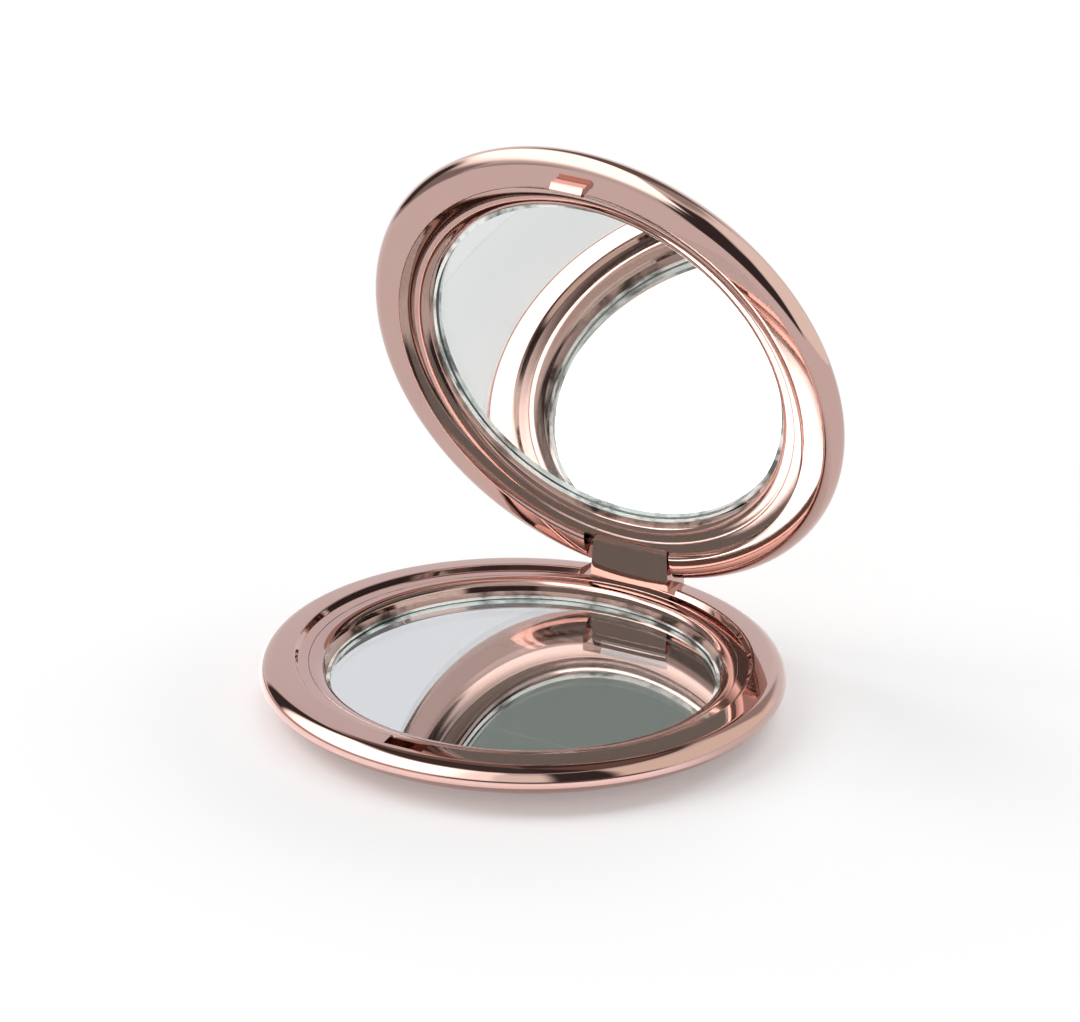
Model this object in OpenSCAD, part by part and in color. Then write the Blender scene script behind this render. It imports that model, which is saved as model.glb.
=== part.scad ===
// Round folding compact mirror, shown with its lid standing open.
// Millimetres. Z is up, the table is Z = 0, the hinge is at the back (+Y) and the latch at the front (-Y).

/* [Case] */
// Diameter of the round case
case_d = 62; // [56:0.5:72]
// Height of the base, from the table to its crest circle
base_h = 5.8; // [5.8:0.1:6.4]
// Thickness of the lid, from its crest circle to its outer face
lid_h = 6.1; // [6:0.1:6.6]
// Width of the curved outer wall, from the flat outer face to the case's edge
wall_w = 8.8; // [8:0.1:10]
// Drop from the crest circle to the widest circle
widest_drop = 2.26; // [2.1:0.02:2.4]
// Roundness of the outer wall, where 2 is an ellipse and less is flatter
wall_bow = 1.73; // [1.6:0.01:2]
// Width of the rim, from the crest circle to the case's edge
rim_w = 4; // [3.8:0.05:4.2]
// Tilt of the land between the crest and the shoulder, in degrees
land_tilt = 7; // [5:0.5:9]
// Thickness of the base's floor
base_floor = 1.1; // [1:0.1:1.2]
// Thickness of the lid's outer face
lid_floor = 1.2; // [1:0.1:1.3]
// Gap between the two crest circles when the lid is shut
shut_gap = 0.1; // [0.05:0.05:0.2]

/* [Mirror and its ring] */
// Gap between a mirror's edge and the ring round it
mirror_gap = 0.65; // [0.3:0.05:0.9]
// Thickness of each mirror
mirror_t = 1.5; // [1.3:0.1:1.6]
// Thickness of the adhesive pad in the base
base_tape_t = 0.3; // [0.2:0.1:0.4]
// Thickness of the foam pad in the lid
lid_tape_t = 0.9; // [0.8:0.1:1]
// Distance of an adhesive pad's edge inside the mirror's edge
tape_inset = 1.35; // [0.5:0.05:3]
// Width of the slope from the crest circle in to the ring's seam
slope_w = 1.75; // [1.7:0.05:2]
// Drop from the crest circle to the seam
seam_drop = 0.72; // [0.7:0.02:0.8]
// Drop from the crest circle to the ring's inner lip
lip_drop = 1.34; // [1.3:0.02:1.4]
// Rise of the ring's bead over a straight slope
bead_rise = 0.24; // [0.15:0.01:0.3]
// Thickness of the ring's flange
flange_t = 0.95; // [0.8:0.05:1.1]
// Reach of the ring's flange over its upright wall
flange_w = 0.6; // [0.4:0.05:0.8]
// Thickness of the ring's upright wall
ring_wall = 1.15; // [1:0.05:1.4]
// Width of the step inside the base's crest
step_w = 0.5; // [0.4:0.05:0.7]
// Depth of the step inside the base's crest
step_drop = 0.66; // [0.6:0.02:0.7]

/* [Hinge] */
// Angle that the lid stands open at
open_angle = 73.2; // [0:0.1:110]
// Distance of the hinge pin in from the case's edge
pin_inset = 2.4; // [2.35:0.05:2.5]
// Height of the hinge pin over the base's crest circle
pin_rise = 2.9; // [2.85:0.05:2.95]
// Diameter of the hinge pin
pin_d = 1.4; // [1.2:0.1:1.5]
// Length of the hinge pin
pin_l = 19.4; // [18:0.2:19.6]
// Width of the hinge block at its foot
block_foot_w = 10.7; // [10:0.1:10.9]
// Width of the hinge block at its top
block_top_w = 9.8; // [9:0.1:10]
// Distance from the pin forward to the block's front face
block_front = 2.25; // [2.1:0.05:2.25]
// Distance from the pin to the block's top and to its heel
block_top = 2.4; // [2.3:0.05:2.4]
// Rounding of the block's front edge
block_round = 0.75; // [0.7:0.05:1]
// Rounding of the heel that stops the lid
heel_round = 0.4; // [0.3:0.05:0.5]
// Width of the lid's pocket for the block
pocket_w = 11.5; // [11.3:0.1:12]
// Distance from the pin forward to the pocket's front wall
pocket_front = 3.05; // [3.05:0.01:3.1]
// Width of the shelf that the block stands on
shelf_w = 13; // [12:0.5:14]
// Depth of the shelf below the crest circle
shelf_drop = 0.6; // [0.5:0.02:0.64]

/* [Latch] */
// Width of the hook
hook_w = 4.2; // [4:0.1:4.5]
// Height of the hook over the lid's crest circle
hook_h = 1.5; // [1.3:0.1:1.7]
// Thickness of the hook
hook_t = 0.9; // [0.8:0.05:1]
// Distance of the hook's outer side in from the case's edge
hook_inset = 2.7; // [2.6:0.05:2.9]
// Rise of the hook's barb
barb = 0.3; // [0.2:0.05:0.3]
// Width of the notch
notch_w = 5; // [4.9:0.1:5.6]
// Depth of the notch
notch_depth = 1.8; // [1.8:0.1:2.3]
// Reach of the notch inside the crest circle
notch_reach = 0.7; // [0.4:0.05:0.9]
// Gap between the hook's barb and the notch's outer side
notch_gap = 0.35; // [0.3:0.05:0.45]
// Rise of the ridge that the barb snaps under
catch_rise = 0.15; // [0.1:0.01:0.15]

/* [Hidden] */

$fn = 144;
// Number of straight steps along each round stretch of an outline
wall_steps = 18;
shoulder_steps = 8;
bead_steps = 8;
edge_steps = 4;
// How far a cut runs past what it cuts
overrun = 1;
// Clearance round a seated ring, under it, and round the pin where it is held and where it turns
seat_fit = 0.03;
ring_lift = 0.15;
pin_hold_fit = 0.015;
pin_run_fit = 0.05;
// Chamfer on the pin's ends
pin_chamfer = 0.2;
// Shares of the hook's height: where the barb starts, peaks, and where the tip's chamfer ends
barb_shares = [0.42, 0.56, 0.72];
// Shares of the notch's depth where the catch ridge starts, peaks and ends
catch_shares = [0.1, 0.2, 0.32];

case_r = case_d / 2;
flat_r = case_r - wall_w;
crest_r = case_r - rim_w;
seam_r = crest_r - slope_w;
seat_r = seam_r - flange_w;
ring_r = seat_r - ring_wall;
mirror_r = ring_r - mirror_gap;
tape_r = mirror_r - tape_inset;
pin_y = case_r - pin_inset;
hook_y = case_r - hook_inset;
notch_y = hook_y + barb + notch_gap;
land_slope = tan(land_tilt);
// The shoulder is the arc that leaves the widest circle upright and meets the land without an edge
shoulder_r = (widest_drop - rim_w * land_slope)
    / (cos(land_tilt) - land_slope * (1 - sin(land_tilt)));
pin_z = base_h + pin_rise;
lid_crest_z = base_h + shut_gap;
lid_top_z = lid_crest_z + lid_h;

// Points on the arc from p to q that bulges by rise to the left of the straight line
function arc(p, q, rise, steps) =
    let (
        chord = norm(q - p),
        along = (q - p) / chord,
        left = [-along[1], along[0]],
        radius = (chord * chord / 4 + rise * rise) / (2 * rise),
        centre = (p + q) / 2 - left * (radius - rise),
        half = asin(chord / 2 / radius)
    )
    [for (i = [0 : steps]) let (a = half * (2 * i / steps - 1)) centre + radius * (along * sin(a) + left * cos(a))];

// Points on the arc of a round edge about a centre, between two angles
function round_edge(centre, radius, from, to, steps) =
    [for (i = [0 : steps]) let (a = from + (to - from) * i / steps) centre + radius * [cos(a), sin(a)]];

// The outer wall of a half, from its flat face out to its widest circle
function outer_wall(h) =
    let (rise = h - widest_drop, power = 2 / wall_bow)
    [for (i = [0 : wall_steps]) let (a = 90 * i / wall_steps)
        [flat_r + wall_w * pow(sin(a), power), rise * (1 - pow(cos(a), power))]];

// The shoulder of a half, from just above its widest circle to the land
function shoulder(h) =
    let (centre = [case_r - shoulder_r, h - widest_drop], sweep = 90 - land_tilt)
    [for (i = [1 : shoulder_steps]) let (a = sweep * i / shoulder_steps) centre + shoulder_r * [cos(a), sin(a)]];

// A half's dish as a solid of revolution, face down on Z = 0, with the points between its crest and its seam
module dish(h, floor_t, inside) {
    rotate_extrude()
        polygon(concat(
            [[0, 0]],
            outer_wall(h),
            shoulder(h),
            [[crest_r, h]],
            inside,
            [
                [seam_r + seat_fit, h - seam_drop],
                [seam_r + seat_fit, h - seam_drop - flange_t],
                [seat_r + seat_fit, h - seam_drop - flange_t],
                [seat_r + seat_fit, floor_t],
                [0, floor_t]
            ]));
}

// The beaded ring round a mirror, hanging by its flange in the dish's seat
module ring(h, floor_t) {
    rotate_extrude()
        polygon(concat(
            [[ring_r, floor_t + ring_lift]],
            [[seat_r, floor_t + ring_lift]],
            [[seat_r, h - seam_drop - flange_t]],
            [[seam_r, h - seam_drop - flange_t]],
            arc([seam_r, h - seam_drop], [ring_r, h - lip_drop], -bead_rise, bead_steps)));
}

// A flat disc that lies at height z
module disc(z, r, t) {
    translate([0, 0, z])
        cylinder(r = r, h = t);
}

// Turns an outline drawn in Y and Z into a bar of the given width across the case
module across(width) {
    translate([-width / 2, 0, 0])
        rotate([90, 0, 90])
            linear_extrude(width)
                children();
}

// Turns a half that lies face down into the shut lid
module shut_lid() {
    translate([0, 0, lid_top_z])
        mirror([0, 0, 1])
            children();
}

// Swings the shut lid open about the pin
module open_lid() {
    translate([0, pin_y, pin_z])
        rotate([-open_angle, 0, 0])
            translate([0, -pin_y, -pin_z])
                children();
}

module pin_bore(fit) {
    translate([-case_r, pin_y, pin_z])
        rotate([0, 90, 0])
            cylinder(d = pin_d + 2 * fit, h = case_d);
}

// The block's outline from the side: an upright front, a flat top and a heel behind
module block_side() {
    front_y = pin_y - block_front;
    heel_y = pin_y + block_top;
    top_z = pin_z + block_top;
    foot_z = base_h - widest_drop;
    polygon(concat(
        [[front_y, foot_z], [heel_y, foot_z]],
        round_edge([heel_y - heel_round, top_z - heel_round], heel_round, 0, 90, edge_steps),
        round_edge([front_y + block_round, top_z - block_round], block_round, 90, 180, edge_steps)));
}

// The block's outline from the front, narrower at its top, standing up along Y in its own plane
module block_front_view() {
    foot_z = base_h - widest_drop;
    top_z = pin_z + block_top;
    polygon([
        [-block_foot_w / 2, foot_z],
        [block_foot_w / 2, foot_z],
        [block_top_w / 2, top_z],
        [-block_top_w / 2, top_z]
    ]);
}

module hinge_block() {
    intersection() {
        across(block_foot_w)
            block_side();
        translate([0, case_d, 0])
            rotate([90, 0, 0])
                linear_extrude(case_d)
                    block_front_view();
        cylinder(d = case_d, h = lid_top_z);
    }
}

module shelf_cut() {
    translate([-shelf_w / 2, seat_r, base_h - shelf_drop])
        cube([shelf_w, case_r, shelf_drop + overrun]);
}

// The notch in the base's rim, with the ridge that the hook's barb snaps under
module notch_cut() {
    floor_z = base_h - notch_depth;
    ridge_y = -notch_y + catch_rise;
    across(notch_w)
        polygon([
            [notch_reach - crest_r, floor_z],
            [-notch_y, floor_z],
            [-notch_y, base_h - catch_shares[2] * notch_depth],
            [ridge_y, base_h - catch_shares[1] * notch_depth],
            [-notch_y, base_h - catch_shares[0] * notch_depth],
            [-notch_y, base_h + overrun],
            [notch_reach - crest_r, base_h + overrun]
        ]);
}

module hook() {
    root_z = lid_crest_z + hook_t;
    tip_z = lid_crest_z - hook_h;
    inner_y = hook_t - hook_y;
    across(hook_w)
        polygon([
            [inner_y, root_z],
            [-hook_y, root_z],
            [-hook_y, lid_crest_z - barb_shares[0] * hook_h],
            [-hook_y - barb, lid_crest_z - barb_shares[1] * hook_h],
            [-hook_y, lid_crest_z - barb_shares[2] * hook_h],
            [barb - hook_y, tip_z],
            [inner_y, tip_z]
        ]);
}

module pocket_cut() {
    translate([-pocket_w / 2, pin_y - pocket_front, base_h - overrun])
        cube([pocket_w, case_r, lid_h + 3 * overrun]);
}

module base_cover() {
    color("rosybrown")
        difference() {
            union() {
                difference() {
                    dish(base_h, base_floor, [[crest_r - step_w, base_h - step_drop]]);
                    shelf_cut();
                    notch_cut();
                }
                hinge_block();
            }
            pin_bore(pin_run_fit);
        }
}

module base_bezel() {
    color("peru")
        ring(base_h, base_floor);
}

module base_mirror() {
    color("gainsboro")
        disc(base_floor + base_tape_t, mirror_r, mirror_t);
}

module base_tape() {
    color("whitesmoke")
        disc(base_floor, tape_r, base_tape_t);
}

module lid_cover() {
    color("rosybrown")
        open_lid()
            difference() {
                union() {
                    shut_lid()
                        dish(lid_h, lid_floor, []);
                    hook();
                }
                pocket_cut();
                pin_bore(pin_hold_fit);
            }
}

module lid_bezel() {
    color("peru")
        open_lid()
            shut_lid()
                ring(lid_h, lid_floor);
}

module lid_mirror() {
    color("gainsboro")
        open_lid()
            shut_lid()
                disc(lid_floor + lid_tape_t, mirror_r, mirror_t);
}

module lid_tape() {
    color("whitesmoke")
        open_lid()
            shut_lid()
                disc(lid_floor, tape_r, lid_tape_t);
}

// The pin, with a chamfer at each end to lead it in
module hinge_pin() {
    color("silver")
        translate([-pin_l / 2, pin_y, pin_z])
            rotate([0, 90, 0])
                rotate_extrude()
                    polygon([
                        [0, 0],
                        [pin_d / 2 - pin_chamfer, 0],
                        [pin_d / 2, pin_chamfer],
                        [pin_d / 2, pin_l - pin_chamfer],
                        [pin_d / 2 - pin_chamfer, pin_l],
                        [0, pin_l]
                    ]);
}

base_cover();
base_bezel();
base_mirror();
base_tape();
lid_cover();
lid_bezel();
lid_mirror();
lid_tape();
hinge_pin();
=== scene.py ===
"""Round folding compact mirror in polished rose-gold plating, standing open on a pale floor.

The case is drawn in millimetres, as two dishes that lie face down, and each piece is put into metres and
into its place when its mesh is made. Z is up, the hinge is at the back (+Y) and the latch at the front (-Y).
"""
from math import cos, pi, radians, sin, tan

import bpy
import numpy as np
from mathutils import Matrix, Vector


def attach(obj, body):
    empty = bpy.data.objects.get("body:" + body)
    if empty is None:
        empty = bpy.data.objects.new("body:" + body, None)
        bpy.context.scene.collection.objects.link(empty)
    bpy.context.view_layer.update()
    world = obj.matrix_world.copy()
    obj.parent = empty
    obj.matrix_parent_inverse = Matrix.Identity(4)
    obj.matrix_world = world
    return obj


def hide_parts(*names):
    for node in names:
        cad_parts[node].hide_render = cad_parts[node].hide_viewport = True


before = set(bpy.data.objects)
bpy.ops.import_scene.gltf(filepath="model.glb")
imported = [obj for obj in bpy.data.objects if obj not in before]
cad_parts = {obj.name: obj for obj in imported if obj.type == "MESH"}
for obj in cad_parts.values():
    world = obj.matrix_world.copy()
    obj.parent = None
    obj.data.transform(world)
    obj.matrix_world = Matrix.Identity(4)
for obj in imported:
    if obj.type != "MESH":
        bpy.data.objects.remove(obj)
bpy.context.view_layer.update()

MM = 0.001

# The case, in millimetres
CASE_R = 31.0
BASE_H = 5.8
LID_H = 6.1
WALL_W = 8.8
WIDEST_DROP = 2.26
WALL_BOW = 1.73
RIM_W = 4.0
LAND_TILT = radians(7)
BASE_FLOOR = 1.1
LID_FLOOR = 1.2
SHUT_GAP = 0.1
OPEN_ANGLE = radians(73.2)

# The mirrors, their pads and the beaded rings round them
MIRROR_GAP = 0.65
MIRROR_T = 1.5
BASE_TAPE_T = 0.3
LID_TAPE_T = 0.9
SLOPE_W = 1.75
SEAM_DROP = 0.72
LIP_DROP = 1.34
BEAD_RISE = 0.15
FLANGE_T = 0.95
FLANGE_W = 0.6
RING_WALL = 1.15
RING_LIFT = 0.15
SEAT_FIT = 0.03
STEP_W = 0.5
STEP_DROP = 0.66
COAT_T = 0.06
COAT_ARRIS = 0.2 * COAT_T
COAT_BITE = 0.02
GLASS_GAP = 0.3
GRIND_W = 0.46
GRIND_H = 0.3
ARRIS = 0.1
# How far each mirror leans on its pad, as rise per length along X and Y
BASE_LEAN = (0.003, 0.015)
LID_LEAN = (-0.022, 0.006)

# The hinge
PIN_INSET = 2.4
PIN_RISE = 2.9
PIN_R = 0.7
BLOCK_FOOT_W = 10.7
BLOCK_TOP_W = 9.8
BLOCK_FRONT = 2.25
BLOCK_TOP = 2.4
BLOCK_ROUND = 1.5
HEEL_ROUND = 0.4
POCKET_W = 11.5
POCKET_FRONT = 3.05
SHELF_W = 13.0
SHELF_DROP = 0.6

# The latch. Shares are of the hook's height and of the notch's depth, down from the rim.
HOOK_W = 4.2
HOOK_H = 1.5
HOOK_T = 0.9
HOOK_INSET = 2.7
BARB = 0.3
BARB_SHARES = (0.42, 0.56, 0.72)
HOOK_GROOVE = 0.14
GROOVE_SHARES = (0.52, 0.46, 0.3, 0.24)
NOTCH_W = 5.0
NOTCH_DEPTH = 1.8
NOTCH_REACH = 0.7
NOTCH_GAP = 0.35
CATCH_RISE = 0.15
CATCH_SHARES = (0.1, 0.2, 0.32)

# Small roundings that plating leaves on every edge
CREST_EASE = 0.25
SEAM_EASE = 0.07
LIP_EASE = 0.16
EDGE_EASE = 0.12
# How far the lid's slope is hollowed
COVE = 0.07
# How far a cutting tool reaches past what it cuts
CUT_PAST = 1.0

CREST_R = CASE_R - RIM_W
SEAM_R = CREST_R - SLOPE_W
SEAT_R = SEAM_R - FLANGE_W
RING_R = SEAT_R - RING_WALL
MIRROR_R = RING_R - MIRROR_GAP
GLASS_R = RING_R - GLASS_GAP
PIN_Y = CASE_R - PIN_INSET
PIN_Z = BASE_H + PIN_RISE
HOOK_Y = CASE_R - HOOK_INSET
NOTCH_Y = HOOK_Y + BARB + NOTCH_GAP
LID_CREST_Z = BASE_H + SHUT_GAP
LID_TOP_Z = LID_CREST_Z + LID_H
LAND_SLOPE = tan(LAND_TILT)
SHOULDER_R = (WIDEST_DROP - RIM_W * LAND_SLOPE) / (cos(LAND_TILT) - LAND_SLOPE * (1 - sin(LAND_TILT)))

# How many points go round each turned piece, along each stretch of an outline and across the block
COLUMNS = 512
WALL_ROWS = 44
SHOULDER_ROWS = 22
BEAD_ROWS = 18
EASE_ROWS = 5
COVE_ROWS = 12
HEEL_ROWS = 7
BROW_ROWS = 13
BLOCK_SLICES = 25
BEVEL_ROWS = 3
PIN_SIDES = 48
# Where the ring of points halfway out on a flat face lies, as a share of its radius
FLAT_SHARE = 0.5
# Faces that meet at more than these angles keep a sharp edge, or have it bevelled on the block
SHARP_FROM = radians(22)
BEVEL_FROM = radians(40)


# Outlines, as arrays of radius and height

def outer_wall(h):
    """A superellipse quarter: radius grows as sine and height falls as cosine of the same angle, each to the
    power 2 / WALL_BOW."""
    a = np.linspace(0, pi / 2, WALL_ROWS)
    power = 2 / WALL_BOW
    r = CASE_R - WALL_W + WALL_W * np.sin(a) ** power
    z = (h - WIDEST_DROP) * (1 - np.cos(a) ** power)
    return np.column_stack([r, z])


def shoulder(h):
    """A circular arc of SHOULDER_R from upright at the widest circle to the tilt of the land."""
    a = np.linspace(0, pi / 2 - LAND_TILT, SHOULDER_ROWS)[1:]
    r = CASE_R - SHOULDER_R + SHOULDER_R * np.cos(a)
    return np.column_stack([r, h - WIDEST_DROP + SHOULDER_R * np.sin(a)])


def bowed(p, q, rise, rows):
    """The circular arc from p to q whose middle stands rise to the left of the straight line."""
    p, q = np.array(p, float), np.array(q, float)
    chord = np.linalg.norm(q - p)
    along = (q - p) / chord
    left = np.array([-along[1], along[0]])
    radius = (chord ** 2 / 4 + rise ** 2) / (2 * rise)
    a = np.arcsin(chord / 2 / radius) * np.linspace(-1, 1, rows)
    centre = (p + q) / 2 - left * (radius - rise)
    return centre + radius * (np.outer(np.sin(a), along) + np.outer(np.cos(a), left))


def eased(corner, before, after, radius):
    """A corner rounded by the quadratic curve from radius before it to radius after it."""
    corner, before, after = (np.array(p, float) for p in (corner, before, after))
    p = corner + (before - corner) / np.linalg.norm(before - corner) * radius
    q = corner + (after - corner) / np.linalg.norm(after - corner) * radius
    t = np.linspace(0, 1, EASE_ROWS)[:, None]
    return (1 - t) ** 2 * p + 2 * t * (1 - t) * corner + t ** 2 * q


def eased_line(points, radii):
    """A line through the points with each inner corner eased by its own radius, or left sharp at zero."""
    parts = [np.array([points[0]], float)]
    for i in range(1, len(points) - 1):
        if radii[i - 1]:
            parts.append(eased(points[i], points[i - 1], points[i + 1], radii[i - 1]))
        else:
            parts.append(np.array([points[i]], float))
    parts.append(np.array([points[-1]], float))
    return np.vstack(parts)


def dish_outline(h, floor_t, step):
    """The half outline of a dish, from the middle of its flat face round its rim to its floor's middle. The
    slope inside the rim goes through the points of step, or is hollowed by COVE where there are none."""
    rim = shoulder(h)
    seat = SEAM_R + SEAT_FIT
    seam = [seat, h - SEAM_DROP]
    slope = step or bowed([CREST_R, h], seam, COVE, COVE_ROWS)[1:-1].tolist()
    inner = eased_line(
        [rim[-1], [CREST_R, h]] + slope + [seam, [seat, h - SEAM_DROP - FLANGE_T]],
        [CREST_EASE] + [SEAM_EASE if step else 0] * len(slope) + [SEAM_EASE])
    seat_in = SEAT_R + SEAT_FIT
    rest = [[seat_in, h - SEAM_DROP - FLANGE_T], [seat_in, floor_t], [0, floor_t]]
    middle = [[0, 0], [FLAT_SHARE * (CASE_R - WALL_W), 0]]
    return np.vstack([middle, outer_wall(h), rim, inner[1:], rest])


def ring_outline(h, floor_t):
    """The closed outline of the beaded ring: an upright wall, a flange and a bowed bead on top."""
    foot = floor_t + RING_LIFT
    under = h - SEAM_DROP - FLANGE_T
    bead = bowed([SEAM_R, h - SEAM_DROP], [RING_R, h - LIP_DROP], -BEAD_RISE, BEAD_ROWS)
    outer = eased(bead[0], [SEAM_R, under], bead[1], SEAM_EASE)
    lip = eased(bead[-1], bead[-2], [RING_R, foot], LIP_EASE)
    keep_out = np.linalg.norm(bead - bead[0], axis=1) > SEAM_EASE
    keep_lip = np.linalg.norm(bead - bead[-1], axis=1) > LIP_EASE
    return np.vstack([
        [[RING_R, foot], [SEAT_R, foot], [SEAT_R, under], [SEAM_R, under]],
        outer, bead[keep_out & keep_lip], lip])


# Meshes

def turned(outline, closed=False):
    """Each outline point goes round Z: x = radius times sine, y = radius times cosine. Points on the axis
    become one pole each, and a closed outline joins its last point to its first."""
    rows = len(outline)
    a = np.linspace(0, 2 * pi, COLUMNS, endpoint=False)
    first, last = (0, rows) if closed else (1, rows - 1)
    ring = outline[first:last]
    r, z = ring[:, :1], ring[:, 1:]
    grid = np.stack([r * np.sin(a), r * np.cos(a), z + 0 * a], axis=-1).reshape(-1, 3)
    count = len(ring)
    index = np.arange(count * COLUMNS).reshape(count, COLUMNS)
    beside = np.roll(index, -1, axis=1)
    if closed:
        above, above_beside = np.roll(index, -1, axis=0), np.roll(beside, -1, axis=0)
    else:
        above, above_beside = index[1:], beside[1:]
        index, beside = index[:-1], beside[:-1]
    quads = np.stack([index, above, above_beside, beside], axis=-1).reshape(-1, 4)
    faces = quads.tolist()
    if not closed:
        low, high = len(grid), len(grid) + 1
        poles = [[0, 0, outline[0, 1]], [0, 0, outline[-1, 1]]]
        grid = np.vstack([grid, poles])
        start = np.arange(COLUMNS)
        end = start + (count - 1) * COLUMNS
        faces += np.stack([np.full(COLUMNS, low), start, np.roll(start, -1)], axis=-1).tolist()
        faces += np.stack([end, np.full(COLUMNS, high), np.roll(end, -1)], axis=-1).tolist()
    return grid, faces


def bar(outline, half_widths, slices=2, back_r=None):
    """A closed outline in Y and Z carried across X from minus to plus its half width at each height. With
    back_r, y is held within that circle round Z."""
    outline = np.array(outline, float)
    count = len(outline)
    t = np.linspace(-1, 1, slices)
    x = np.outer(t, half_widths(outline[:, 1]))
    y = np.broadcast_to(outline[:, 0], x.shape)
    z = np.broadcast_to(outline[:, 1], x.shape)
    if back_r:
        y = np.minimum(y, np.sqrt(back_r ** 2 - x ** 2))
    grid = np.stack([x, y, z], axis=-1).reshape(-1, 3)
    index = np.arange(slices * count).reshape(slices, count)
    beside = np.roll(index, -1, axis=1)
    quads = np.stack([index[:-1], beside[:-1], beside[1:], index[1:]], axis=-1).reshape(-1, 4)
    return grid, quads.tolist() + [index[0][::-1].tolist(), index[-1].tolist()]


def even(width):
    """A half width that is the same at every height."""
    return lambda z: np.full(len(z), width / 2)


def base_place(points):
    """The base lies where it is drawn."""
    return points * MM


def lid_place(points):
    """The shut lid swings open by OPEN_ANGLE: measured from the pin, y becomes y cos + z sin, and z becomes
    z cos - y sin."""
    y, z = points[:, 1] - PIN_Y, points[:, 2] - PIN_Z
    c, s = cos(OPEN_ANGLE), sin(OPEN_ANGLE)
    return np.column_stack([points[:, 0], PIN_Y + y * c + z * s, PIN_Z - y * s + z * c]) * MM


def shut(points, faces):
    """A dish that lies face down becomes the shut lid: Z is turned over, and the faces with it."""
    return points * [1, 1, -1] + [0, 0, LID_TOP_Z], [f[::-1] for f in faces]


def mesh_object(name, points, faces):
    """A new object in the scene from points and faces."""
    mesh = bpy.data.meshes.new(name)
    mesh.from_pydata(points.tolist(), [], faces)
    mesh.validate()
    mesh.update()
    obj = bpy.data.objects.new(name, mesh)
    bpy.context.scene.collection.objects.link(obj)
    return obj


def fixed(obj):
    """The object's modifiers are worked into its mesh."""
    bpy.context.view_layer.update()
    mesh = bpy.data.meshes.new_from_object(obj.evaluated_get(bpy.context.evaluated_depsgraph_get()))
    obj.modifiers.clear()
    obj.data = mesh
    return obj


def cut(obj, tools):
    """Each tool is taken out of the object in turn and thrown away."""
    for points, faces in tools:
        tool = mesh_object("tool", points, faces)
        step = obj.modifiers.new("cut", "BOOLEAN")
        step.operation = "DIFFERENCE"
        step.solver = "EXACT"
        step.object = tool
        fixed(obj)
        bpy.data.objects.remove(tool)
    return obj


def rows_of(items, key):
    """Three numbers of each vertex or face, such as its place, as rows."""
    rows = np.zeros(len(items) * 3)
    items.foreach_get(key, rows)
    return rows.reshape(-1, 3)


def joined(obj, points, faces):
    """A closed form added to the object's mesh as it is."""
    old = obj.data
    old_points = rows_of(old.vertices, "co")
    old_faces = [list(p.vertices) for p in old.polygons]
    new_faces = [[i + len(old_points) for i in f] for f in faces]
    mesh = bpy.data.meshes.new(old.name)
    mesh.from_pydata(np.vstack([old_points, points]).tolist(), [], old_faces + new_faces)
    mesh.update()
    obj.data = mesh
    return obj


def smoothed(obj):
    """Smooth shading, with sharp edges where faces meet at more than SHARP_FROM."""
    obj.data.polygons.foreach_set("use_smooth", np.ones(len(obj.data.polygons), bool))
    obj.data.set_sharp_from_angle(angle=SHARP_FROM)
    obj.data.update()
    return obj


def put(obj, place):
    """The object's points, in millimetres, go to their place in metres."""
    placed = place(rows_of(obj.data.vertices, "co"))
    obj.data.vertices.foreach_set("co", placed.ravel())
    obj.data.update()
    return obj


# The pieces

def block_side():
    """The block's side outline: an upright front, a rounded front edge, a flat top and a rounded heel."""
    front_y, heel_y = PIN_Y - BLOCK_FRONT, PIN_Y + BLOCK_TOP
    top_z, foot_z = PIN_Z + BLOCK_TOP, BASE_H - WIDEST_DROP

    def quarter(centre, radius, start, rows):
        a = start + np.linspace(0, pi / 2, rows)
        return centre + radius * np.column_stack([np.cos(a), np.sin(a)])

    heel = quarter([heel_y - HEEL_ROUND, top_z - HEEL_ROUND], HEEL_ROUND, 0, HEEL_ROWS)
    brow = quarter([front_y + BLOCK_ROUND, top_z - BLOCK_ROUND], BLOCK_ROUND, pi / 2, BROW_ROWS)
    return np.vstack([[[front_y, foot_z], [heel_y, foot_z]], heel, brow])


def block_half_width(z):
    """The block narrows evenly from its foot to its top."""
    foot_z, top_z = BASE_H - WIDEST_DROP, PIN_Z + BLOCK_TOP
    t = (z - foot_z) / (top_z - foot_z)
    return (BLOCK_FOOT_W * (1 - t) + BLOCK_TOP_W * t) / 2


def hinge_block():
    """The block, held within the round of the case at its back, with its sharp edges bevelled."""
    form = bar(block_side(), block_half_width, slices=BLOCK_SLICES, back_r=CASE_R)
    obj = mesh_object("hinge_block", *form)
    bevel = obj.modifiers.new("ease", "BEVEL")
    bevel.width = EDGE_EASE
    bevel.segments = BEVEL_ROWS
    bevel.limit_method = "ANGLE"
    bevel.angle_limit = BEVEL_FROM
    return put(smoothed(fixed(obj)), base_place)


def box(low, high):
    """A plain box between two corners, for cutting."""
    (x0, y0, z0), (x1, y1, z1) = low, high
    return bar([[y0, z0], [y1, z0], [y1, z1], [y0, z1]], even(x1 - x0))


def notch():
    """The hollow of the notch, for cutting, with the ridge that the barb snaps under left in."""
    inner, outer = NOTCH_REACH - CREST_R, -NOTCH_Y
    floor_z, top_z = BASE_H - NOTCH_DEPTH, BASE_H + CUT_PAST
    ridge = [[outer + depth, BASE_H - share * NOTCH_DEPTH]
             for depth, share in zip((0, CATCH_RISE, 0), CATCH_SHARES)]
    hollow = [[inner, top_z], [outer, top_z]] + ridge + [[outer, floor_z], [inner, floor_z]]
    return bar(hollow, even(NOTCH_W))


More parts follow.
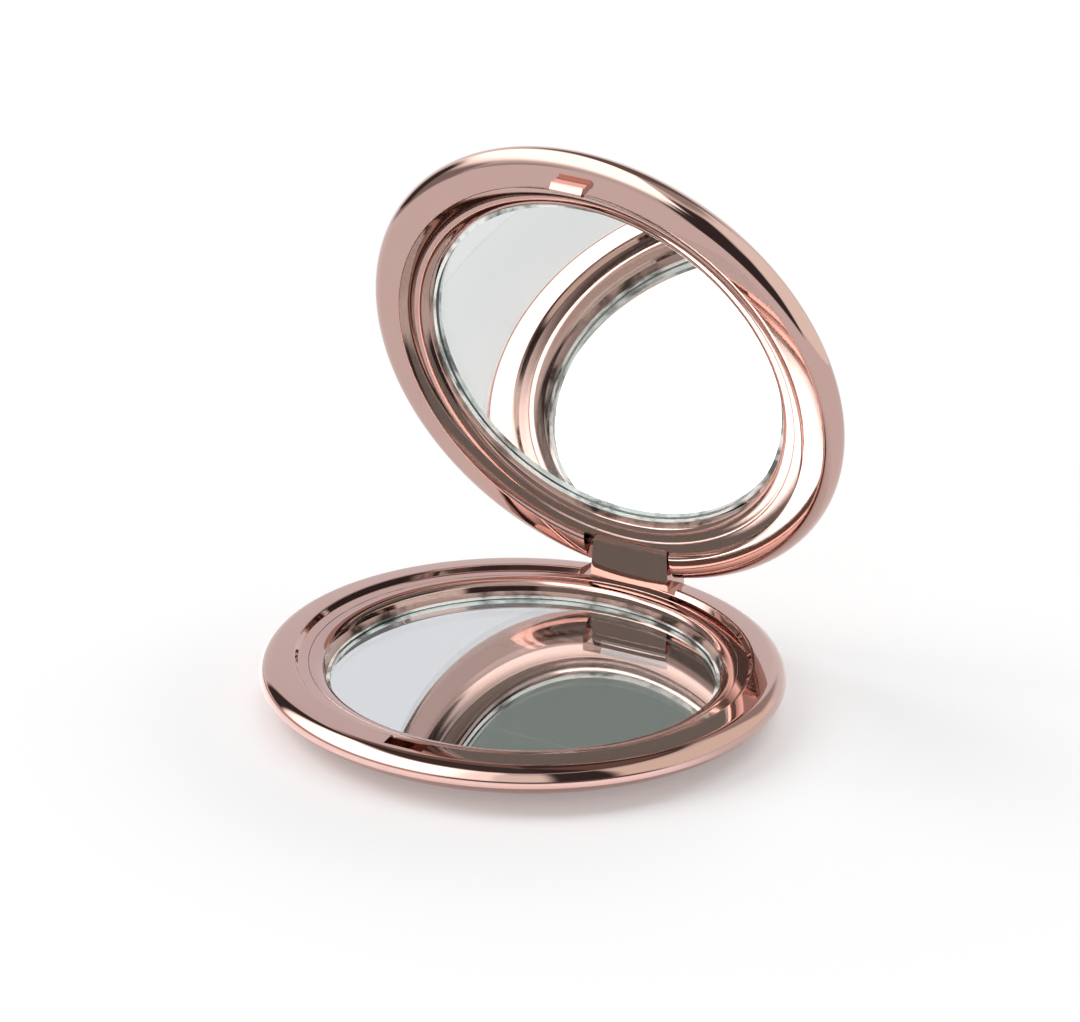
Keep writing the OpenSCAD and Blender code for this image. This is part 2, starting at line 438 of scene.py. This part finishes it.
def hook():
    """The hook: a tongue with a barb on its outer side, a chamfered tip and a groove on its inner side."""
    root_z, tip_z = LID_CREST_Z + HOOK_T, LID_CREST_Z - HOOK_H
    inner = HOOK_T - HOOK_Y
    barb = [[-HOOK_Y - depth, LID_CREST_Z - share * HOOK_H]
            for depth, share in zip((0, BARB, 0), BARB_SHARES)]
    groove = [[inner - depth, LID_CREST_Z - share * HOOK_H]
              for depth, share in zip((0, HOOK_GROOVE, HOOK_GROOVE, 0), GROOVE_SHARES)]
    root = [[inner, root_z], [-HOOK_Y, root_z]]
    tip = [[BARB - HOOK_Y, tip_z], [inner - BARB, tip_z], [inner, tip_z + BARB]]
    return bar(root + barb + tip + groove, even(HOOK_W))


def pin_hole():
    """A cylinder along the pin, for cutting."""
    a = np.linspace(0, 2 * pi, PIN_SIDES, endpoint=False)
    circle = np.column_stack([PIN_Y + PIN_R * np.cos(a), PIN_Z + PIN_R * np.sin(a)])
    return bar(circle, even(2 * (CASE_R + CUT_PAST)))


def base_shell():
    """The base's dish with its shelf and notch cut."""
    step = [[CREST_R - STEP_W, BASE_H - STEP_DROP]]
    obj = mesh_object("base_shell", *turned(dish_outline(BASE_H, BASE_FLOOR, step)))
    shelf = box([-SHELF_W / 2, SEAT_R, BASE_H - SHELF_DROP],
                [SHELF_W / 2, CASE_R + CUT_PAST, BASE_H + CUT_PAST])
    cut(obj, [shelf, notch()])
    return put(smoothed(obj), base_place)


def lid_shell():
    """The lid's dish with its pocket and pin hole cut and its hook added."""
    obj = mesh_object("lid_shell", *shut(*turned(dish_outline(LID_H, LID_FLOOR, []))))
    pocket = box([-POCKET_W / 2, PIN_Y - POCKET_FRONT, BASE_H - CUT_PAST],
                 [POCKET_W / 2, CASE_R + CUT_PAST, LID_TOP_Z + CUT_PAST])
    cut(obj, [pocket, pin_hole()])
    joined(obj, *hook())
    return put(smoothed(obj), lid_place)


def base_ring():
    """The beaded ring round the base's mirror."""
    obj = mesh_object("base_ring", *turned(ring_outline(BASE_H, BASE_FLOOR), closed=True))
    return put(smoothed(obj), base_place)


def lid_ring():
    """The beaded ring round the lid's mirror, turned over and swung open with the lid."""
    obj = mesh_object("lid_ring", *shut(*turned(ring_outline(LID_H, LID_FLOOR), closed=True)))
    return put(smoothed(obj), lid_place)


def disc_outline(radius, low, high, top_in, top_down, arris):
    """A flat disc's half outline, with a small chamfer below and one of its own width and depth on top."""
    halfway = FLAT_SHARE * radius
    return np.array([
        [0, low], [halfway, low], [radius - arris, low], [radius, low + arris], [radius, high - top_down],
        [radius - top_in, high], [halfway, high], [0, high]])


def tilted(points, lean):
    """A mirror lies a touch out of level on its pad: Z rises by the lean along X and along Y, and by enough
    all over for its low side to touch the pad."""
    lift = MIRROR_R * np.hypot(*lean)
    return points + np.outer(points @ [lean[0], lean[1], 0] + lift, [0, 0, 1])


def glass(name, foot, lean, turn, place):
    """A clear disc over the coat. The faces of its ground edge take the second finish."""
    outline = disc_outline(GLASS_R, foot + COAT_T - COAT_BITE, foot + MIRROR_T, GRIND_W, GRIND_H, ARRIS)
    points, faces = turned(outline)
    obj = smoothed(mesh_object(name, *turn(tilted(points, lean), faces)))
    middles = rows_of(obj.data.polygons, "center")
    out = np.linalg.norm(middles[:, :2], axis=1) > GLASS_R - GRIND_W
    obj.data.polygons.foreach_set("material_index", out.astype(np.int32))
    return put(obj, place)


def coat(name, foot, lean, turn, place):
    """The silver and its backing paint, which lie against the back of the glass."""
    outline = disc_outline(GLASS_R - GRIND_W, foot, foot + COAT_T, COAT_ARRIS, COAT_ARRIS, COAT_ARRIS)
    points, faces = turned(outline)
    return put(smoothed(mesh_object(name, *turn(tilted(points, lean), faces))), place)


def as_drawn(points, faces):
    """The base's mirror stays the way up that it is drawn."""
    return points, faces


# Finishes

# The plating's two tones, its least roughness and by how much that varies
ROSE = (0.55, 0.369, 0.331)
DEEP_ROSE = tuple(0.96 * part for part in ROSE)
SMOOTHEST = 0.03
SMOOTH_SPREAD = 0.03
# How brightly the ground glass glows, and the depth that a full bump stands for, in metres
EDGE_GLOW = 0.5
BUMP_DEPTH = 0.0001
WHITE = (1.0, 1.0, 1.0, 1.0)


class Wire:
    """What one socket of a node tree gives out. Sums on numbers add Math nodes."""

    def __init__(self, finish, socket):
        self.finish, self.socket = finish, socket

    def maths(self, operation, a, b):
        """The result of a Math node."""
        return self.finish.add("ShaderNodeMath", {"operation": operation}, {0: a, 1: b})

    def __add__(self, other):
        return self.maths("ADD", self, other)

    def __radd__(self, other):
        return self.maths("ADD", other, self)

    def __mul__(self, other):
        return self.maths("MULTIPLY", self, other)

    def __rmul__(self, other):
        return self.maths("MULTIPLY", other, self)


class Finish:
    """A material or a world whose nodes are added one call at a time."""

    def __init__(self, owner):
        self.owner = owner
        owner.use_nodes = True
        self.tree = owner.node_tree
        self.tree.nodes.clear()

    def add(self, kind, settings=None, inputs=None, output=0):
        """A node of that type, with its settings and then its inputs. It gives its output's wire."""
        node = self.tree.nodes.new(kind)
        for key, value in (settings or {}).items():
            setattr(node, key, value)
        for key, value in (inputs or {}).items():
            if isinstance(value, Wire):
                self.tree.links.new(value.socket, node.inputs[key])
            else:
                node.inputs[key].default_value = value
        return Wire(self, node.outputs[output]) if len(node.outputs) else node

    def coordinates(self):
        """The piece's own coordinates, in metres."""
        return self.add("ShaderNodeTexCoord", output="Object")

    def noise(self, scale, detail, at=None):
        """Soft noise of so many waves to a metre."""
        return self.add("ShaderNodeTexNoise", None,
                        {"Vector": at or self.coordinates(), "Scale": scale, "Detail": detail})

    def between(self, share, low, high):
        """The colour that lies by the share from the low one to the high one."""
        return self.add("ShaderNodeMix", {"data_type": "RGBA"},
                        {0: share, 6: low + (1.0,), 7: high + (1.0,)}, output=2)

    def bump(self, strength, height):
        """A normal from a height."""
        return self.add("ShaderNodeBump", None,
                        {"Strength": strength, "Distance": BUMP_DEPTH, "Height": height})

    def larger(self, a, b):
        """The larger of two numbers."""
        return self.add("ShaderNodeMath", {"operation": "MAXIMUM"}, {0: a, 1: b})

    def smaller(self, a, b):
        """The smaller of two numbers."""
        return self.add("ShaderNodeMath", {"operation": "MINIMUM"}, {0: a, 1: b})

    def faded(self, distance, edges, first=0.0, last=1.0):
        """From one value to another between two distances, softly at both ends."""
        return self.add("ShaderNodeMapRange", {"interpolation_type": "SMOOTHSTEP"},
                        {0: distance, 1: edges[0], 2: edges[1], 3: first, 4: last})

    def glow(self, strength):
        """White light of that strength."""
        return self.add("ShaderNodeEmission", None, {"Color": WHITE, "Strength": strength})

    def mixed(self, share, first, second):
        """Two shaders by their share."""
        return self.add("ShaderNodeMixShader", None, {0: share, 1: first, 2: second})

    def end(self, shader):
        """The finished material or world."""
        kind = "World" if isinstance(self.owner, bpy.types.World) else "Material"
        self.add("ShaderNodeOutput" + kind, None, {"Surface": shader})
        return self.owner

    def surface(self, inputs):
        """The finished material from the inputs of one Principled shader."""
        return self.end(self.add("ShaderNodeBsdfPrincipled", None, inputs))


def new_finish(name):
    """An empty material."""
    return Finish(bpy.data.materials.new(name))


def rose_gold(name):
    """Bright plating over moulded plastic: faintly uneven in tone, gloss and flatness."""
    f = new_finish(name)
    cloud = f.noise(scale=180.0, detail=3.0)
    return f.surface({
        "Base Color": f.between(cloud, DEEP_ROSE, ROSE), "Metallic": 1.0,
        "Roughness": SMOOTHEST + SMOOTH_SPREAD * cloud,
        "Normal": f.bump(0.012, f.noise(scale=320.0, detail=1.0))})


def clear_glass(name):
    """Clear glass with a faint green in its thickness and hardly seen unevenness."""
    f = new_finish(name)
    return f.surface({
        "Base Color": (0.97, 0.985, 0.98, 1.0), "Roughness": 0.0, "IOR": 1.5, "Transmission Weight": 1.0,
        "Normal": f.bump(0.01, f.noise(scale=60.0, detail=1.0))})


def ground_glass(name):
    """The cut and ground edge: frosted grey-green with dark and bright streaks along it. A faint glow stands
    in for the light that the glass leads to its edge."""
    f = new_finish(name)
    streak = f.noise(scale=260.0, detail=3.0)
    sharp = f.add("ShaderNodeMapRange", None, {0: streak, 1: 0.36, 2: 0.52})
    tone = f.between(sharp, (0.12, 0.14, 0.13), (0.9, 0.95, 0.92))
    return f.surface({
        "Base Color": tone, "Roughness": 0.2, "Emission Color": tone, "Emission Strength": EDGE_GLOW})


def silvering(name):
    """The silver behind the glass, with faint clouds in its tone."""
    f = new_finish(name)
    cloud = f.noise(scale=90.0, detail=2.0)
    tone = f.between(cloud, (0.765, 0.775, 0.775), (0.785, 0.795, 0.795))
    return f.surface({"Base Color": tone, "Metallic": 1.0, "Roughness": 0.0})


def foam(name):
    """White foam tape with fine open cells."""
    f = new_finish(name)
    cells = f.noise(scale=2500.0, detail=2.0)
    tone = f.between(cells, (0.7, 0.7, 0.68), (0.85, 0.85, 0.83))
    return f.surface({"Base Color": tone, "Roughness": 0.7, "Normal": f.bump(0.3, cells)})


def drawn_steel(name):
    """Steel wire with fine lines along it."""
    f = new_finish(name)
    along = f.add("ShaderNodeMapping", None, {"Vector": f.coordinates(), "Scale": (60.0, 4000.0, 4000.0)})
    lines = f.noise(scale=1.0, detail=2.0, at=along)
    return f.surface({
        "Base Color": (0.6, 0.6, 0.6, 1.0), "Metallic": 1.0, "Roughness": 0.15 + 0.2 * lines})


# The stage, with its lengths in metres

# The middle of the set, which the lamps face and the domes stand round
STAGE_AT = np.array([0.0, 0.0, 0.02])
# How strongly the sky lights the set
AMBIENT = 0.36
# The floor: half its side, its board's tone and the glow added to it for the eye
FLOOR_HALF = 3.0
BOARD = (0.88, 0.88, 0.88, 1.0)
FLOOR_LIFT = 0.235
# The floor's weak mirror image: its roughness, its index, its most, and where it fades out
FLOOR_ROUGH = 0.3
FLOOR_IOR = 1.25
FLOOR_SHINE = 0.07
NEAR = (0.03, 0.044)
# Where the floor fades into the backdrop, as distances from a point to the right of its middle and behind
FADE_AT = (0.016, 0.012, 0.0)
FADE = (0.045, 0.088)
# The painted domes start a little below the horizon, in degrees, and their floor sheets at FLOOR_FROM.
# Each grid has its points round Z and its points outwards or upwards.
DOME_GRID = (361, 97)
DOME_FROM = -6
SHEET_GRID = (361, 60)
FLOOR_FROM = 0.045
GLOW_GRID = (181, 4)
GLOW_HEIGHT = 0.0005
# How far off each dome stands and how high its floor sheet lies
LID_SET = (0.35, 0.00104)
MIRROR_SET = (0.355, 0.00102)
BASE_SET = (0.36, 0.001)
LAMP_FAR = 3.0
# Each lamp's azimuth and elevation in degrees, its side and its level
LAMPS = {"key_light": (-84, 46, 2.1, 2.75), "back_light": (172, 45, 2.25, 2.3)}


def toward(az, el):
    """The direction at an azimuth from the front (-Y) towards the right (+X), and at an elevation, in
    degrees."""
    az, el = np.radians(az), np.radians(el)
    return np.stack([np.sin(az) * np.cos(el), -np.cos(az) * np.cos(el), np.sin(el) + 0 * az], axis=-1)


def around(az, r, height):
    """Points at a height, at their distances from Z and their azimuths from the front."""
    return np.stack([r * np.sin(np.radians(az)), -r * np.cos(np.radians(az)), height + 0 * r], axis=-1)


def seen(f):
    """One for the eye, also in metal or through glass, and zero for the light that the stage gives."""
    eye, metal, clear = (f.add("ShaderNodeLightPath", output=ray)
                         for ray in ("Is Camera Ray", "Is Glossy Ray", "Is Transmission Ray"))
    return f.larger(eye, f.larger(metal, clear))


def floor_finish():
    """White board: white to the eye, with the object's shadow and, near the object, a weak mirror image.
    Further out it fades into the plain white of the backdrop."""
    f = new_finish("floor_board")
    at = f.coordinates()
    out = f.add("ShaderNodeVectorMath", {"operation": "LENGTH"}, {0: at}, output=1)
    near = f.faded(out, NEAR, first=1.0, last=0.0)
    off = f.add("ShaderNodeVectorMath", {"operation": "DISTANCE"}, {0: at, 1: FADE_AT}, output=1)
    plain = f.add("ShaderNodeBsdfDiffuse", None, {"Color": BOARD})
    white = f.add("ShaderNodeAddShader", None, {0: plain, 1: f.glow(FLOOR_LIFT)})
    gloss = f.add("ShaderNodeBsdfGlossy", None, {"Color": WHITE, "Roughness": FLOOR_ROUGH})
    shine = f.smaller(f.add("ShaderNodeFresnel", None, {"IOR": FLOOR_IOR}), FLOOR_SHINE)
    board = f.mixed(shine * near, white, gloss)
    return f.end(f.mixed(seen(f), plain, f.mixed(f.faded(off, FADE), board, f.glow(1.0))))


def sky():
    """A white world, plain white to the eye and dimmer as a light."""
    f = Finish(bpy.data.worlds.new("studio"))
    plain, white = (f.add("ShaderNodeBackground", None, {"Color": WHITE, "Strength": level})
                    for level in (AMBIENT, 1.0))
    bpy.context.scene.world = f.end(f.mixed(seen(f), plain, white))


def floor_board():
    """The square floor that the case stands on."""
    corners = np.array([[-1, -1, 0], [1, -1, 0], [1, 1, 0], [-1, 1, 0]]) * FLOOR_HALF
    obj = mesh_object("floor", corners, [[0, 1, 2, 3]])
    obj.data.materials.append(floor_finish())
    return obj


def rise(x, edge, soft):
    """From 0 to 1 round the edge, over the soft width: 3 t squared minus 2 t cubed."""
    t = np.clip((x - edge) / soft + 0.5, 0, 1)
    return t * t * (3 - 2 * t)


def painted(az, up, patches):
    """The colour of each point of a card: white, then each patch in turn over it with its soft edges."""
    glow = np.ones(az.shape + (3,))
    for az0, az1, up0, up1, az_soft, up_soft, colour in patches:
        turn = (az - az0) % 360
        wide = (az1 - az0) % 360 or 360
        cover = rise(up, up0, up_soft) * (1 - rise(up, up1, up_soft))
        if wide < 360:
            turn = np.where(turn > (wide + 360) / 2, turn - 360, turn)
            cover = cover * rise(turn, 0, az_soft) * (1 - rise(turn, wide, az_soft))
        glow = glow + cover[..., None] * (np.array(colour) - glow)
    return glow


def card(name, points, glow, see_through, only):
    """A card from a grid of points that glow. It shows in the bright metal and glass of the pieces of only,
    and the others see through it if it is see-through."""
    rows, columns = points.shape[:2]
    index = np.arange(rows * columns).reshape(rows, columns)
    quads = np.stack([index[:-1, :-1], index[:-1, 1:], index[1:, 1:], index[1:, :-1]], axis=-1)
    obj = mesh_object(name, points.reshape(-1, 3), quads.reshape(-1, 4).tolist())
    paint = obj.data.attributes.new("glow", "FLOAT_COLOR", "POINT")
    colours = np.concatenate([glow, np.ones((rows, columns, 1))], -1)
    paint.data.foreach_set("color", colours.astype(np.float32).ravel())
    f = new_finish(name)
    colour = f.add("ShaderNodeAttribute", {"attribute_name": "glow"})
    shader = f.add("ShaderNodeEmission", None, {"Color": colour, "Strength": 1.0})
    if see_through:
        clear = f.add("ShaderNodeBsdfTransparent", None, {"Color": WHITE})
        shader = f.add("ShaderNodeAddShader", None, {0: shader, 1: clear})
    obj.data.materials.append(f.end(shader))
    obj.visible_camera = False
    obj.visible_diffuse = False
    obj.visible_shadow = False
    obj.light_linking.receiver_collection = only


def surroundings(name, stand, above, below, see_through, only):
    """A dome and the far part of the floor under it, painted with what stands round the set. The dome
    stands as far off, and the floor sheet lies as high, as stand says."""
    far, height = stand
    az, el = np.meshgrid(np.linspace(-180, 180, DOME_GRID[0]), np.linspace(DOME_FROM, 90, DOME_GRID[1]))
    card(name + "_dome", STAGE_AT + far * toward(az, el), painted(az, el, above), see_through, only)
    az, r = np.meshgrid(np.linspace(-180, 180, SHEET_GRID[0]), np.linspace(FLOOR_FROM, far, SHEET_GRID[1]))
    card(name + "_floor", around(az, r, height), painted(az, r / MM, below), see_through, only)


def near_floor(name, patches, only):
    """A glow low over the floor round the foot of the case."""
    out = np.linspace(CASE_R * MM, FLOOR_FROM, GLOW_GRID[1])
    az, r = np.meshgrid(np.linspace(-180, 180, GLOW_GRID[0]), out)
    card(name, around(az, r, GLOW_HEIGHT), painted(az, r / MM, patches), True, only)


def lamp(name, az, el, side, level):
    """A soft box: a square of even brightness that faces the object. It lights the set and shows in no
    metal or glass."""
    data = bpy.data.lights.new(name, "AREA")
    data.shape = "RECTANGLE"
    data.size = data.size_y = side
    data.energy = level * pi * side * side
    obj = bpy.data.objects.new(name, data)
    out = Vector(toward(az, el))
    right = Vector((cos(radians(az)), sin(radians(az)), 0))
    turn = Matrix((right, out.cross(right), out)).transposed()
    obj.matrix_world = Matrix.Translation(Vector(STAGE_AT) + out * LAMP_FAR) @ turn.to_4x4()
    bpy.context.scene.collection.objects.link(obj)
    obj.visible_camera = False
    obj.visible_glossy = False
    obj.visible_transmission = False


# Camera. The point it is aimed at and its lens are in millimetres, and its distances in metres.

VIEW_AZ = radians(28.294)
VIEW_EL = radians(23.394)
VIEW_ROLL = radians(1.031)
VIEW_AT = (1.863, 0.0, 24.826)
VIEW_FAR = 1.0
LENS = 285.74
SENSOR = 36.0
NEAREST = 0.05


def camera():
    """The camera looks back along its azimuth and elevation to the point it is aimed at."""
    back = Vector((sin(VIEW_AZ) * cos(VIEW_EL), -cos(VIEW_AZ) * cos(VIEW_EL), sin(VIEW_EL)))
    data = bpy.data.cameras.new("camera")
    data.lens = LENS
    data.sensor_width = SENSOR
    data.clip_start = NEAREST
    obj = bpy.data.objects.new("camera", data)
    right = Vector((cos(VIEW_AZ), sin(VIEW_AZ), 0))
    up = back.cross(right)
    turn = Matrix((right, up, back)).transposed() @ Matrix.Rotation(VIEW_ROLL, 3, "Z")
    obj.matrix_world = Matrix.Translation(Vector(VIEW_AT) * MM + back * VIEW_FAR) @ turn.to_4x4()
    bpy.context.scene.collection.objects.link(obj)
    bpy.context.scene.camera = obj


# What stands round the set, as painted patches. Each has its azimuths from and to, its elevations from
# and to, or distances in millimetres on a floor sheet, the widths of its soft edges and its colour.

DARK = (0.06, 0.05, 0.05)
GREY = (0.32, 0.335, 0.31)
LID_ROOM = [
    (-180, -118, -9, 34, 10, 12, (1.15, 1.22, 1.22)),
    (66, 158, -9, 60, 8, 10, (1.32, 1.36, 1.28)),
    (50, 160, 62, 90, 10, 10, (0.5, 0.5, 0.45)),
    (140, -125, 42, 90, 12, 14, (0.2, 0.18, 0.18)),
    (-118, 22, -9, 90, 8, 4, (0.85, 0.9, 0.88)),
    (-116, -56, -9, 17, 8, 12, (0.34, 0.32, 0.31)),
    (-56, -28, -9, 7, 14, 10, (0.58, 0.56, 0.54)),
    (-118, 20, 25, 90, 8, 26, (3.0, 3.0, 2.95)),
    (-110, -88, -9, 24, 8, 10, DARK),
    (0, 63, -9, 16, 6, 6, DARK),
    (9, 61, 10, 32, 8, 8, DARK),
    (20, 57, 26, 54, 10, 8, DARK),
]
LID_FLOOR_FAR = [
    (-112, -56, 250, 999, 8, 80, (0.4, 0.38, 0.36)),
    (0, 65, 190, 999, 8, 60, DARK),
]
MIRROR_ROOM = [
    (-180, -118, -9, 34, 10, 12, (0.9, 0.895, 0.94)),
    (66, 158, -9, 60, 8, 10, (1.32, 1.36, 1.28)),
    (-88, 20, -9, 90, 6, 4, GREY),
    (-118, -50, 27, 90, 10, 12, (5.0, 5.0, 4.9)),
    (-60, -14, 44, 90, 12, 10, (5.0, 5.0, 4.9)),
    (-14, 66, 46, 90, 10, 8, (1.05, 1.03, 1.0)),
    (-180, 180, 60, 90, 0, 8, (0.9, 0.86, 0.82)),
    (150, -130, 45, 90, 10, 14, (0.35, 0.33, 0.33)),
    (-110, -88, -9, 24, 8, 10, DARK),
    (19, 63, -9, 46, 6, 8, DARK),
]
MIRROR_FLOOR_FAR = [
    (-180, 180, 60, 999, 0, 30, (0.965, 0.96, 0.97)),
    (-88, 20, 72, 999, 8, 24, GREY),
    (20, 69, 150, 999, 8, 60, DARK),
]
BASE_ROOM = [
    (-165, -108, -9, 42, 10, 8, (0.93, 0.91, 0.93)),
    (66, 160, -9, 43, 6, 6, (1.16, 1.11, 0.98)),
    (150, 178, 14, 90, 8, 12, (0.5, 0.44, 0.42)),
    (-180, 180, 51, 90, 6, 6, (0.08, 0.07, 0.066)),
    (60, 150, 55, 90, 10, 8, (0.22, 0.15, 0.12)),
    (-150, -110, 46, 90, 10, 8, (0.25, 0.19, 0.17)),
    (-88, 20, -9, 51, 9, 6, (1.8, 1.86, 1.8)),
    (-80, -2, 2, 50, 26, 16, (4.4, 4.4, 4.3)),
    (17, 42, -9, 36, 5, 6, (1.25, 1.3, 1.2)),
    (40, 68, -9, 90, 8, 4, DARK),
    (20, 90, 47.5, 52, 6, 2, (0.6, 0.65, 0.6)),
    (-108, -89, -9, 90, 5, 4, DARK),
]
BASE_FLOOR_FAR = [
    (-90, 4, 45, 999, 8, 8, (0.72, 0.56, 0.54)),
    (2, 74, 45, 999, 8, 8, (0.2, 0.15, 0.14)),
]
BASE_FLOOR_NEAR = [
    (-180, 180, 0, 99, 0, 1, (0.1, 0.1, 0.1)),
    (-100, 75, 0, 99, 30, 1, (0.7, 0.67, 0.68)),
]


# Assembly

camera()
sky()

plating = rose_gold("case_plating")
ring_plating = rose_gold("ring_plating")
clear = clear_glass("mirror_glass")
ground = ground_glass("ground_edge")
silver = silvering("mirror_silver")
pieces = [
    (base_shell(), "base", "base_cover", "case_plating", [plating], "base_case"),
    (hinge_block(), "base", "base_cover", "case_plating", [plating], "mirrors"),
    (lid_shell(), "lid", "lid_cover", "case_plating", [plating], "lid_case"),
    (base_ring(), "base", "base_bezel", "ring_plating", [ring_plating], "mirrors"),
    (lid_ring(), "lid", "lid_bezel", "ring_plating", [ring_plating], "mirrors"),
]
for half, foot, lean, turn, place in (
        ("base", BASE_FLOOR + BASE_TAPE_T, BASE_LEAN, as_drawn, base_place),
        ("lid", LID_FLOOR + LID_TAPE_T, LID_LEAN, shut, lid_place)):
    for make, kind, finishes in ((glass, "glass", [clear, ground]), (coat, "silver", [silver])):
        made = make(half + "_" + kind, foot, lean, turn, place)
        pieces.append((made, half, half + "_mirror", "mirror_glass", finishes, "mirrors"))

# Each group of pieces has its own surroundings in its bright metal and glass
groups = {group: bpy.data.collections.new(group) for group in ("base_case", "lid_case", "mirrors")}
for piece, body, node, slot, finishes, group in pieces:
    for finish in finishes:
        piece.data.materials.append(finish)
    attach(piece, body)
    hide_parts(node)
    groups[group].objects.link(piece)

inner = {
    "base_tape": foam("base_tape_foam"), "lid_tape": foam("lid_tape_foam"),
    "hinge_pin": drawn_steel("pin_steel")}
for node, finish in inner.items():
    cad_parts[node].material_slots[0].material = finish
for thing in [floor_board()] + [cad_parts[node] for node in inner]:
    groups["base_case"].objects.link(thing)

# The lid's and the mirrors' surroundings are see-through to the others; the base's lie outermost and lowest
surroundings("lid_cards", LID_SET, LID_ROOM, LID_FLOOR_FAR, True, groups["lid_case"])
surroundings("mirror_cards", MIRROR_SET, MIRROR_ROOM, MIRROR_FLOOR_FAR, True, groups["mirrors"])
surroundings("base_cards", BASE_SET, BASE_ROOM, BASE_FLOOR_FAR, False, groups["base_case"])
near_floor("base_glow", BASE_FLOOR_NEAR, groups["base_case"])
for name, settings in LAMPS.items():
    lamp(name, *settings)

scene = bpy.context.scene
scene.view_settings.view_transform = "Standard"
